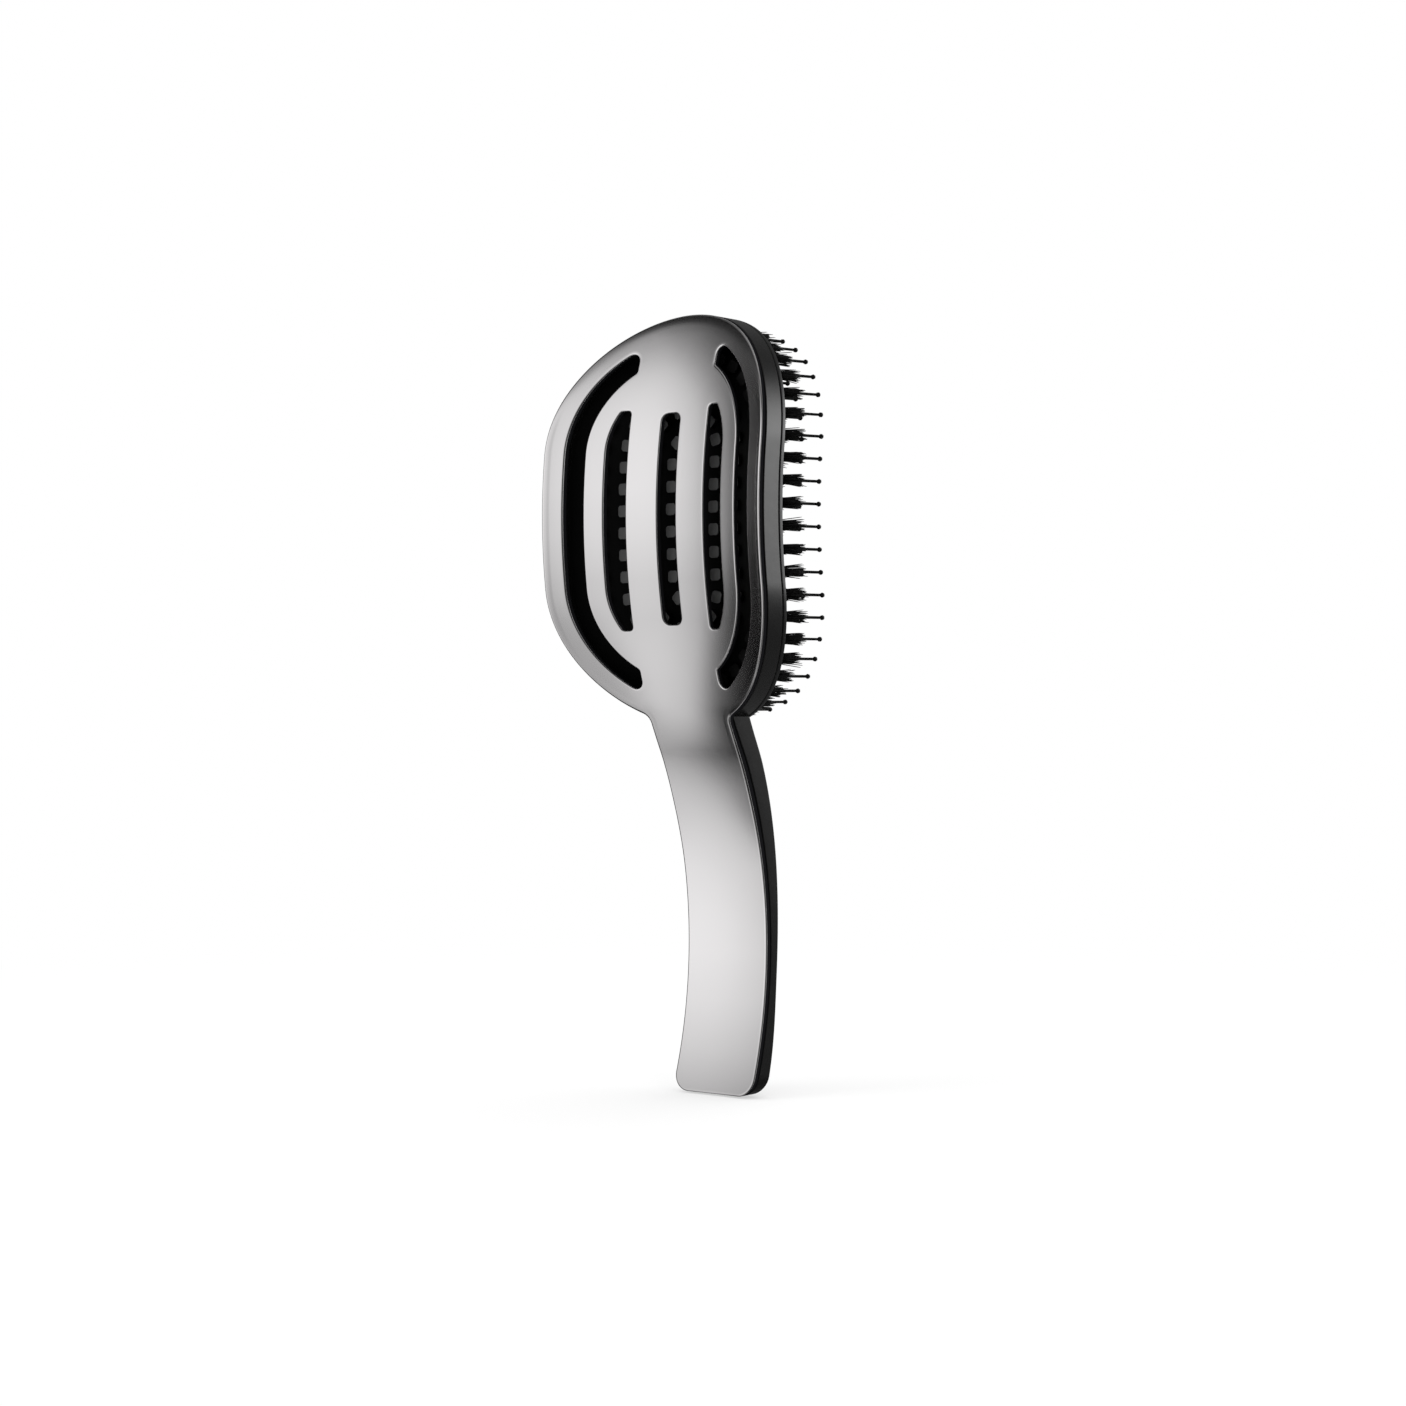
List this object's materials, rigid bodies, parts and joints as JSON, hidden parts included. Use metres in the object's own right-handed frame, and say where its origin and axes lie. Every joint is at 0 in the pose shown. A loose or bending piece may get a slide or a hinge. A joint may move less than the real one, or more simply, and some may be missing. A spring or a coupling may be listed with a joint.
{
  "type": "vanity hairbrush",
  "caption": "Vented oval hairbrush with a plated back, black frame and bristle plate, and ball-tipped pins in short bristle tufts.",
  "frame": {"origin": "centre of the handle shell's flat butt end", "axes": "+Z from the butt of the handle to the top of the head, -Y out of the plated back, +Y the way the bristles point, X across the brush"},
  "size_m": [0.0856, 0.0463, 0.23],
  "materials": {
    "plated_back": "satin chrome plating over plastic",
    "gloss_black": "glossy black",
    "satin_black": "satin black",
    "black_bristle": "black nylon pins and bristles"
  },
  "bodies": {
    "root": {"back_cover": "plated_back", "head_frame": "gloss_black", "bristle_plate": "satin_black", "handle_shell": "gloss_black", "tufts_inner_rings": "black_bristle", "tufts_middle_ring": "black_bristle", "tufts_outer_left": "black_bristle", "tufts_outer_right": "black_bristle"}
  },
  "joints": []
}
